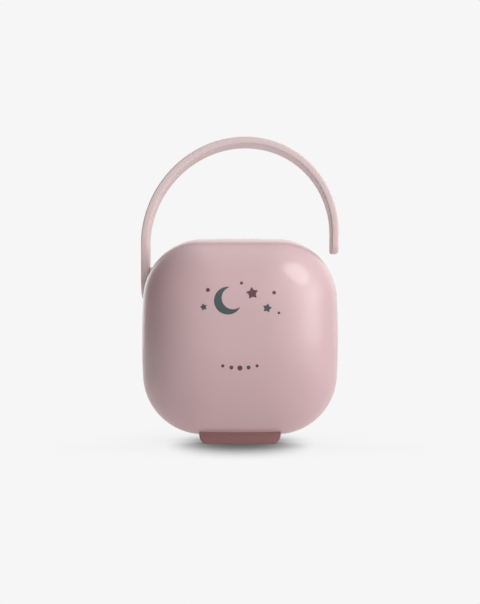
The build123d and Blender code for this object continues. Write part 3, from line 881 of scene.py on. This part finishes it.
class CASE_OT_latch(Operator):
    """Moulds the push button with its hook, and the soft bellows that lifts it"""

    bl_idname = "case.latch"
    bl_label = "Latch"

    def execute(self, context):
        low, high = BUTTON_BOX
        slider_top = low.z + 1.8 * MM
        tiny = 0.01 * MM
        slider_low, slider_high = (low.x, 1.1 * MM, low.z), (high.x, high.y, slider_top)
        piece = mould("latch_press", slab, slider_low, slider_high, 0.2 * MM)
        arm_low, arm_high = (-HOOK_HALF, low.y, low.z), (HOOK_HALF, 1.6 * MM, slider_top - tiny)
        join(piece, "Arm", slab, arm_low, arm_high, 0.2 * MM)
        hook_low = (-HOOK_HALF + tiny, low.y, low.z + tiny)
        hook_high = (HOOK_HALF - tiny, -1.15 * MM, 77.65 * MM)
        join(piece, "Hook", slab, hook_low, hook_high, 0.3 * MM)
        cap_root, dish_depth = 0.8 * MM, 0.3 * MM
        join(piece, "Cap", button_cap, slider_top - cap_root, high.z)
        cut(piece, "Dish", finger_dish, high.z, dish_depth)
        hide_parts("latch_button")
        dress(piece, "latch_button", "Body pink")

        # the bellows is as tall as the gap that the button closes
        spring_low, spring_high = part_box("latch_spring")
        centre = (spring_low + spring_high) / 2
        height = spring_high.z - spring_low.z
        waves, radius, ripple, wall = 3, 2.72 * MM, 0.28 * MM, 0.6 * MM
        steps = waves * 8
        outer = []
        for step in range(steps + 1):
            turn = 2 * math.pi * waves * step / steps
            outer.append((height * step / steps, radius - ripple * math.cos(turn)))
        inner = [(along, reach - wall) for along, reach in reversed(outer)]
        base = (centre.x, centre.y, spring_low.z)
        bellows = mould("latch_bellows", lathe, base, UP, outer + inner, sharp=60)
        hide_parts("latch_spring")
        dress(bellows, "latch_spring", "Silicone")
        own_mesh(bellows)
        dress_nodes("Fixing plastic", "latch_bracket", "latch_rivets")
        return {"FINISHED"}


def button_cap(bm, low_z, high_z):
    """The button's cap, with round corners and a soft top edge."""
    corners = ((-7.5, 2.6), (7.5, 2.6), (7.5, 9.6), (-7.5, 9.6))
    verts = flat_face(bm, [(x * MM, y * MM, low_z) for x, y in corners])
    corner_round, top_round = 1.4 * MM, 0.7 * MM
    soften(bm, verts, corner_round, 10, "VERTICES")
    thicken(bm, (0, 0, high_z - low_z))
    top = [face for face in bm.faces if face.normal.z > 0.9 and face.calc_center_median().z > low_z]
    soften(bm, list(top[0].edges), top_round, 6)


def finger_dish(bm, top, depth):
    """A wide ellipsoid that dips into the button's top."""
    size = Vector((12.8, 4.8, 3.0)) * MM
    place = Matrix.Translation((0, 6.1 * MM, top + size.z - depth)) @ Matrix.Diagonal((*size, 1))
    bmesh.ops.create_uvsphere(bm, u_segments=96, v_segments=64, radius=1.0, matrix=place)


# --- the steam vent --------------------------------------------------------------------------------


def side_surface(shape, proud):
    """Returns a function that gives X on the right side at (y, z), proud of the back shell's skin."""
    reach = outline(shape, shape.shell_inset - proud)
    middle = middle_of(shape)

    def surface(y, z):
        depth = max(y - shape.band, 0) / (shape.back_depth + proud - shape.band)
        share = dome_share(shape, shape.back_flat, depth)
        x = shape.width / 2
        for _ in range(8):
            x = math.sqrt((reach(math.atan2(z - middle, x)) * share) ** 2 - (z - middle) ** 2)
        return x

    return surface


def vent_tile(bm, shape, low, high, round_low):
    """A soft tile that follows the back shell's side; its lower or upper corners are round."""
    thickness, corner_round, edge_round, step = 1.2 * MM, 1.8 * MM, 0.35 * MM, 1.2 * MM
    corners = ((low.y, low.z), (high.y, low.z), (high.y, high.z), (low.y, high.z))
    verts = flat_face(bm, [(0, y, z) for y, z in corners])
    soften(bm, verts[:2] if round_low else verts[2:], corner_round, 8, "VERTICES")
    thicken(bm, (thickness, 0, 0))
    outer_rim = [edge for edge in bm.edges if all(vert.co.x > 0.9 * thickness for vert in edge.verts)]
    soften(bm, outer_rim, edge_round, 3)
    for axis, start, stop in ((1, low.y, high.y), (2, low.z, high.z)):
        slice_across(bm, axis, start, stop, max(int((stop - start) / step), 2))
    surface = side_surface(shape, 0.1 * MM)
    for vert in bm.verts:
        vert.co.x += surface(vert.co.y, vert.co.z)


class CASE_OT_vent(Operator):
    """Moulds the steam vent's flap and the anchor that it hangs from"""

    bl_idname = "case.vent"
    bl_label = "Steam vent"

    def execute(self, context):
        shape = context.scene.case_shape
        low, high = FLAP_BOX
        flap = mould("vent_tongue", vent_tile, shape, low, high, True)
        ridge_pitch, ridge_round = 0.9 * MM, 0.12 * MM
        for step in (-1, 0, 1):
            rise = step * ridge_pitch
            ridge_low = (high.x - 1.0 * MM, 4.4 * MM, 34.3 * MM + rise)
            ridge_high = (high.x - 0.02 * MM, 9.6 * MM, 34.7 * MM + rise)
            join(flap, "Grip", slab, ridge_low, ridge_high, ridge_round)
        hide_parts("vent_flap")
        dress(flap, "vent_flap", "Silicone")

        anchor_low = Vector((low.x, low.y, 44.075 * MM))
        anchor_high = Vector((high.x, high.y, 49.475 * MM))
        anchor = mould("vent_root", vent_tile, shape, anchor_low, anchor_high, False)
        # the plug's head lies inside the wall and its neck passes through it
        profile = in_mm(((0, 0), (0, 1.8), (0.3, 2.1), (1.6, 2.1), (1.6, 1.3), (4.2, 1.3), (4.2, 0)))
        head_x = 32.0 * MM
        start = (head_x, VENT_Y, (anchor_low.z + anchor_high.z) / 2)
        join(anchor, "Plug", lathe, start, RIGHT, profile)
        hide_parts("vent_anchor")
        dress(anchor, "vent_anchor", "Silicone")
        return {"FINISHED"}


# --- seal and rack ---------------------------------------------------------------------------------


def seal_skin(bm, shape):
    """The seal's ring: a square foot on the ledge and a round lip towards the back."""
    back, front = SEAL_BOX[1].y, SEAL_BOX[0].y
    outside, inside = shape.cover_wall + 0.05 * MM, shape.cover_wall + 2.4 * MM
    soft, lip, crown = 0.25 * MM, 0.55 * MM, 0.35 * MM
    stations = quarter((front + soft, outside + soft), soft, -90, -180, steps=3)
    stations += quarter((front + soft, inside - soft), soft, 180, 90, steps=3)
    stations += quarter((back - lip, inside - lip), lip, 90, 0)
    stations += [(back - crown, (outside + inside) / 2, 1.0)]
    stations += quarter((back - lip, outside + lip), lip, 0, -90)
    pillow_skin(bm, shape, stations, closed=True)


class CASE_OT_seal(Operator):
    """Moulds the seal that lies on the cover's ledge"""

    bl_idname = "case.seal"
    bl_label = "Seal"

    def execute(self, context):
        piece = mould("cover_gasket", seal_skin, context.scene.case_shape)
        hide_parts("cover_seal")
        dress(piece, "cover_seal", "Silicone")
        return {"FINISHED"}


def rack_stations(shape, top, bottom):
    """The rack's skin: its floor, the round of its raised rim, its side and its underside."""
    soft = 0.25 * MM
    space = 1.2 * MM
    inset = shape.shell_inset + shape.shell_wall + space
    inner = inset + 3.2 * MM
    floor = top + 2.0 * MM
    depth = shape.back_depth - shape.shell_wall - space

    def wall_share(y):
        return dome_share(shape, shape.back_flat, (y - shape.band) / (depth - shape.band))

    stations = [(floor, inner, share) for share in (0.05, 0.3, 0.6, 0.85, 0.97)]
    stations += quarter((floor - soft, inner + soft), soft, 0, -90, steps=3)
    stations += quarter((top + soft, inner - soft), soft, 90, 180, steps=3)
    stations += quarter((top + soft, inset + soft), soft, 180, 270, wall_share(top + soft), steps=3)
    for step in range(1, 7):
        y = top + soft + (bottom - soft - top - soft) * step / 6
        stations.append((y, inset, wall_share(y)))
    under = wall_share(bottom)
    stations += quarter((bottom - soft, inset + soft), soft, -90, 0, under, steps=3)
    return stations + [(bottom, inset, share * under) for share in (0.97, 0.85, 0.6, 0.3, 0.05)]


class CASE_OT_rack(Operator):
    """Moulds the drip rack with its ring and steam slots"""

    bl_idname = "case.rack"
    bl_label = "Drip rack"

    def execute(self, context):
        shape = context.scene.case_shape
        low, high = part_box("steam_rack")
        middle = middle_of(shape)
        reach = high.y - low.y
        piece = mould("steam_tray", pillow_skin, shape, rack_stations(shape, low.y, high.y))
        hole_radius, past = 14.4 * MM, 2 * MM
        cut(piece, "Hole", bar, (0, low.y - past, middle), BACK, reach + 2 * past, hole_radius)
        end = reach - 0.01 * MM
        bend = reach - 0.2 * MM
        ring = [
            (0.0, 13.9 * MM), (0.0, 14.7 * MM), (0.12 * MM, 14.98 * MM), (0.4 * MM, 15.1 * MM),
            (bend, 15.1 * MM), (end, 14.9 * MM), (end, 13.7 * MM), (bend, 13.5 * MM),
            (0.4 * MM, 13.5 * MM), (0.12 * MM, 13.62 * MM),
        ]
        join(piece, "Ring", lathe, (0, low.y, middle), BACK, ring)
        pin_hole = (6 * MM, 1.2 * MM, 0.01 * MM)
        for side in (-1, 1):
            cut(piece, "Pin hole", bar, (side * RACK_PIN_X, low.y, middle), BACK, *pin_hole)
        cut(piece, "Slots", steam_slots, middle, low.y + 1 * MM, 4 * MM)
        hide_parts("steam_rack")
        dress(piece, "steam_rack", "Rack plastic")
        dress_nodes("Silicone", "rack_grommets")
        return {"FINISHED"}


def steam_slots(bm, middle, start, reach, count=16):
    """Rounded slots round the rack's ring, on a circle, each pointing to the middle."""
    circle, radius, half = 21.0 * MM, 1.3 * MM, 2.2 * MM
    lay = Matrix.Translation((0, start, middle)) @ Matrix.Rotation(math.radians(90), 4, "X")
    for step in range(count):
        turn = 2 * math.pi * (step + 0.5) / count
        place = lay @ Matrix.Rotation(turn, 4, "Z") @ Matrix.Translation((circle, 0, 0))
        made = bmesh.ops.create_circle(bm, cap_ends=True, segments=24, radius=radius)["verts"]
        for vert in made:
            vert.co.x += half if vert.co.x > 0 else -half
        bmesh.ops.transform(bm, matrix=place, verts=made)
    thicken(bm, (0, reach, 0))


# --- the printed moon, stars and dots --------------------------------------------------------------


def front_surface(shape):
    """Returns a function that gives the cover's outer Y at a point (x, z) of its front."""
    reach = outline(shape, 0.0)
    middle = middle_of(shape)
    flat_share = shape.front_flat / shape.width

    def surface(x, z):
        share = math.hypot(x, z - middle) / reach(math.atan2(z - middle, x))
        side = min(max(share - flat_share, 0) / (1 - flat_share), 1)
        depth = (1 - side**shape.power) ** (1 / shape.power)
        return -shape.band - (shape.front_depth - shape.band) * depth

    return surface


def turned(x, z, tilt):
    """The place of a mark at (x, z), turned by tilt degrees."""
    return Matrix.Translation((x, 0, z)) @ Matrix.Rotation(math.radians(tilt), 4, "Y")


def disc(bm, x, z, radius, segments=40):
    """A flat disc in the XZ plane."""
    lay = Matrix.Translation((x, 0, z)) @ Matrix.Rotation(math.radians(90), 4, "X")
    return bmesh.ops.create_circle(bm, cap_ends=True, segments=segments, radius=radius, matrix=lay)["verts"]


def crescent(bm, x, z, radius, tilt):
    """A flat crescent: a disc whose right side follows a second circle inwards between its horns."""
    verts = disc(bm, 0, 0, radius, segments=96)
    bite_radius, bite_x = 0.82 * radius, 0.42 * radius
    horn = (radius**2 + bite_x**2 - bite_radius**2) / (2 * bite_x)
    for vert in verts:
        if vert.co.x > horn:
            vert.co.x = bite_x - math.sqrt(bite_radius**2 - vert.co.z**2)
    bmesh.ops.transform(bm, matrix=turned(x, z, tilt), verts=verts)


def star(bm, x, z, radius, tilt):
    """A flat five-pointed star with soft points."""
    notch, softness = 0.52, 0.18
    verts = disc(bm, 0, 0, radius, segments=10)
    for vert in verts[1::2]:
        vert.co *= notch
    soften(bm, verts, softness * radius, 4, "VERTICES")
    fresh = [vert for vert in bm.verts if vert.co.length < 1.2 * radius]
    bmesh.ops.transform(bm, matrix=turned(x, z, tilt), verts=fresh)


def ink_film(bm, shape, marks):
    """Flat marks, each a shape and its place in millimetres, laid on the cover as a film of ink."""
    for mark, x, z, radius, *tilt in marks:
        mark(bm, x * MM, z * MM, radius * MM, *tilt)
    bmesh.ops.triangulate(bm, faces=bm.faces)
    spans = [(axis, [vert.co[axis] for vert in bm.verts]) for axis in (0, 2)]
    step = 0.8 * MM
    for axis, places in spans:
        low, high = min(places), max(places)
        slice_across(bm, axis, low, high, int((high - low) / step) + 1)
    thicken(bm, (0, 2 * INK, 0))
    surface = front_surface(shape)
    for vert in bm.verts:
        vert.co.y += surface(vert.co.x, vert.co.z) - INK


class CASE_OT_print(Operator):
    """Prints a crescent moon, stars and a row of dots on the cover"""

    bl_idname = "case.print_marks"
    bl_label = "Print"

    def execute(self, context):
        slate = (
            (crescent, -4.5, 54.6, 5.2, -28),
            (star, 10.2, 51.8, 1.9, 12),
            (star, -13.6, 52.2, 1.5, -15),
            (disc, -3.2, 29.6, 0.75),
            (disc, 3.2, 29.6, 0.75),
        )
        brown = (
            (star, 4.6, 57.4, 2.5, -8),
            (disc, 12.8, 57.6, 0.7),
            (disc, 0.6, 61.2, 0.6),
            (disc, -12.0, 58.6, 0.75),
            (disc, 14.6, 50.0, 0.5),
            (disc, -6.4, 30.2, 0.6),
            (disc, 0.0, 29.4, 0.95),
            (disc, 6.4, 30.2, 0.6),
        )
        for name, marks, ink in (("print_slate", slate, "Slate ink"), ("print_brown", brown, "Brown ink")):
            film = mould(name, ink_film, context.scene.case_shape, marks, sharp=60)
            dress(film, "front_cover", ink)
        return {"FINISHED"}


# --- stage -----------------------------------------------------------------------------------------


def smooth_range(tree, value, near, far, inside, outside):
    """Smooth change from inside to outside as the value goes from near to far."""
    feeds = {"Value": value, "From Min": near, "From Max": far, "To Min": inside, "To Max": outside}
    return shader_node(tree, "MapRange", feeds, interpolation_type="SMOOTHSTEP").outputs["Result"]


def oval_fade(tree, place, depth_scale, near, far, inside, outside):
    """Smooth change from inside to outside with the distance over the floor, in an oval about the origin."""
    oval = shader_node(tree, "Mapping", {"Vector": place, "Scale": (1.0, depth_scale, 1.0)})
    distance = shader_node(tree, "VectorMath", {0: oval.outputs["Vector"]}, operation="LENGTH")
    return smooth_range(tree, distance.outputs["Value"], near, far, inside, outside)


def paper_material(name, brightness, shade_reach, shade_depth, plain, glow):
    """Pale paper: lit ground mixed with a share of plain bright ground, all plain further out.

    The camera looks through the plain ground at the surroundings, so a cover that is opened past it still
    shows. It is shaded by occlusion where the object stands close over it, and that shade is painted deeper
    in an oval about the foot, most of all in front of the foot, and lighter behind it. A share, glow, of its
    light reaches the object from below.
    """
    material = bpy.data.materials.new(name)
    material.use_nodes = True
    tree = material.node_tree
    tree.nodes.clear()
    place = object_place(tree)
    # Painted shadow: the occlusion's darkening is made deeper in an oval about the foot, and deeper in front of
    # the foot than behind it.
    painted_shadow_oval = oval_fade(tree, place, 0.3, near=0.006, far=0.03, inside=shade_depth, outside=0.08)
    back = shader_node(tree, "SeparateXYZ", {"Vector": place}).outputs["Y"]
    painted_shadow_front = smooth_range(tree, back, near=-0.034, far=-0.004, inside=1.3, outside=0.2)
    depth = sums(tree, "MULTIPLY", painted_shadow_oval, painted_shadow_front)
    shade = shader_node(tree, "AmbientOcclusion", {"Distance": shade_reach}).outputs["AO"]
    clear = shader_node(tree, "BsdfTransparent", {"Color": sums(tree, "POWER", shade, depth)})
    matt = shader_node(tree, "BsdfDiffuse", {"Color": (0.94, 0.93, 0.93, 1)})
    glowing = shader_node(tree, "Emission", {"Color": (1, 1, 1, 1), "Strength": brightness})
    seen_from = shader_node(tree, "LightPath").outputs["Is Camera Ray"]
    bright = shader_node(tree, "MixShader", {0: seen_from, 1: glowing.outputs[0], 2: clear.outputs[0]})
    fade = oval_fade(tree, place, 0.8, near=0.012, far=0.07, inside=plain, outside=1.0)
    seen = sums(tree, "MULTIPLY_ADD", sums(tree, "SUBTRACT", fade, glow), seen_from, glow)
    mix = shader_node(tree, "MixShader", {0: seen, 1: matt.outputs[0], 2: bright.outputs[0]})
    shader_node(tree, "OutputMaterial", {"Surface": mix.outputs[0]})
    return material


def softbox(name, place, target, brightness, width, height):
    """An oval lamp at a place, aimed at a target, that the camera doesn't see."""
    lamp = bpy.data.lights.new(name, "AREA")
    lamp.shape = "ELLIPSE"
    lamp.size = width
    lamp.size_y = height
    lamp.energy = brightness * math.pi * width * height
    softbox_object = bpy.data.objects.new(name, lamp)
    softbox_object.location = place
    softbox_object.rotation_euler = (target - place).to_track_quat("-Z", "Y").to_euler()
    softbox_object.visible_camera = False
    bpy.context.scene.collection.objects.link(softbox_object)


def lobe(tree, view, azimuth, elevation, sharpness):
    """A soft patch of the surroundings, 1 at its middle, where azimuth is to the right of the front."""
    around, above = math.radians(azimuth), math.radians(elevation)
    way = (math.sin(around) * math.cos(above), -math.cos(around) * math.cos(above), math.sin(above))
    facing = shader_node(tree, "VectorMath", {0: view, 1: way}, operation="DOT_PRODUCT").outputs["Value"]
    return sums(tree, "POWER", sums(tree, "MAXIMUM", facing, 0.0), float(sharpness))


def soft_light_world(world, paper, room, screen, flag, lights):
    """Surroundings that show the camera plain paper and light the case softly from a few directions.

    Polished surfaces mirror a pale room too, with a brighter screen and a dark flag in it.
    Each light and the screen are (azimuth, elevation, sharpness, brightness).
    """
    world.use_nodes = True
    tree = world.node_tree
    back = tree.nodes["Background"]
    back.inputs["Color"].default_value = (1, 1, 1, 1)
    view = object_place(tree)
    total = 0.0
    for *place, brightness in lights:
        total = sums(tree, "MULTIPLY_ADD", lobe(tree, view, *place), brightness, total)
    path = shader_node(tree, "LightPath").outputs
    mirrored = sums(tree, "MAXIMUM", path["Is Glossy Ray"], path["Is Transmission Ray"])
    *place, brightness = screen
    screened = sums(tree, "MULTIPLY_ADD", lobe(tree, view, *place), brightness, room)
    walls = sums(tree, "MULTIPLY", sums(tree, "SUBTRACT", 1.0, lobe(tree, view, *flag)), screened)
    level = sums(tree, "MULTIPLY_ADD", mirrored, walls, total)
    unseen = sums(tree, "SUBTRACT", 1.0, path["Is Camera Ray"])
    shown = sums(tree, "MULTIPLY", path["Is Camera Ray"], paper)
    tree.links.new(sums(tree, "MULTIPLY_ADD", unseen, level, shown), back.inputs["Strength"])


class CASE_OT_stage(Operator):
    """Sets the floor, the lamps, the surroundings and the camera"""

    bl_idname = "case.stage"
    bl_label = "Stage"

    def execute(self, context):
        stage = context.scene.case_stage
        scene = context.scene
        bm = bmesh.new()
        floor_radius = 1.6
        bmesh.ops.create_circle(bm, cap_ends=True, segments=96, radius=floor_radius)
        for face in bm.faces:
            if face.normal.z < 0:
                face.normal_flip()
        mesh = bpy.data.meshes.new("floor")
        bm.to_mesh(mesh)
        bm.free()
        floor = bpy.data.objects.new("floor", mesh)
        mesh.materials.append(
            paper_material("Paper", stage.paper, shade_reach=0.06, shade_depth=3.0, plain=0.9, glow=0.5)
        )
        scene.collection.objects.link(floor)

        world = bpy.data.worlds.new("Surroundings")
        scene.world = world
        screen = (20, 15, 1.0, stage.screen)
        flag = (-95, 10, 1.6)
        lights = (
            (60, 10, 18, stage.side),
            (90, 45, 12, stage.high),
            (180, 10, 18, stage.rim),
            (180, 45, 12, stage.back),
            (135, 20, 12, stage.edge),
            (50, 5, 12, stage.front),
            (-150, 10, 18, stage.left),
            (0, 90, 8, stage.top),
        )
        soft_light_world(world, stage.paper, stage.room, screen, flag, lights)

        # the key lamp mirrors at the cover's upper right corner
        spot = Vector((0.0223, -0.022, 0.0655))
        key_way, key_distance = Vector((0.533, -0.545, 0.648)), 0.7
        softbox("Key", spot + key_way * key_distance, spot, stage.key, width=0.36, height=0.37)

        lens = bpy.data.cameras.new("Camera")
        lens.lens = stage.lens
        lens.sensor_width = 36
        lens.clip_start = 0.01
        camera = bpy.data.objects.new("Camera", lens)
        scene.collection.objects.link(camera)
        middle_x = 0.00002
        eye = Vector((middle_x, -stage.distance, stage.eye))
        aim = Vector((middle_x, 0, stage.aim))
        camera.location = eye
        camera.rotation_euler = (aim - eye).to_track_quat("-Z", "Y").to_euler()
        scene.camera = camera
        scene.view_settings.view_transform = "Standard"
        return {"FINISHED"}


# --- panel and run ---------------------------------------------------------------------------------


GROUPS = {
    "case_shape": CaseShape,
    "strap_shape": StrapShape,
    "case_finish": CaseFinish,
    "case_stage": CaseStage,
}
BUILDERS = (
    CASE_OT_front_cover,
    CASE_OT_back_shell,
    CASE_OT_strap,
    CASE_OT_foot,
    CASE_OT_latch,
    CASE_OT_vent,
    CASE_OT_seal,
    CASE_OT_rack,
    CASE_OT_print,
    CASE_OT_stage,
)


class CASE_PT_panel(Panel):
    """Lists the case's sizes and finishes, and the buttons that make its pieces"""

    bl_idname = "CASE_PT_panel"
    bl_label = "Pacifier case"
    bl_space_type = "VIEW_3D"
    bl_region_type = "UI"
    bl_category = "Case"

    def draw(self, context):
        layout = self.layout
        for title, name in zip(("Shells", "Strap", "Finish", "Stage"), GROUPS):
            group = getattr(context.scene, name)
            box = layout.box()
            box.label(text=title)
            for label in group.__annotations__:
                box.prop(group, label)
        for builder in BUILDERS:
            layout.operator(builder.bl_idname)


CLASSES = (*GROUPS.values(), *BUILDERS, CASE_PT_panel)


def register():
    for kind in CLASSES:
        bpy.utils.register_class(kind)
    for name, group in GROUPS.items():
        setattr(bpy.types.Scene, name, PointerProperty(type=group))


def unregister():
    for name in GROUPS:
        delattr(bpy.types.Scene, name)
    for kind in reversed(CLASSES):
        bpy.utils.unregister_class(kind)


def main():
    """Makes every piece in turn."""
    register()
    for builder in BUILDERS:
        area, name = builder.bl_idname.split(".")
        getattr(getattr(bpy.ops, area), name)()


if __name__ == "__main__":
    main()
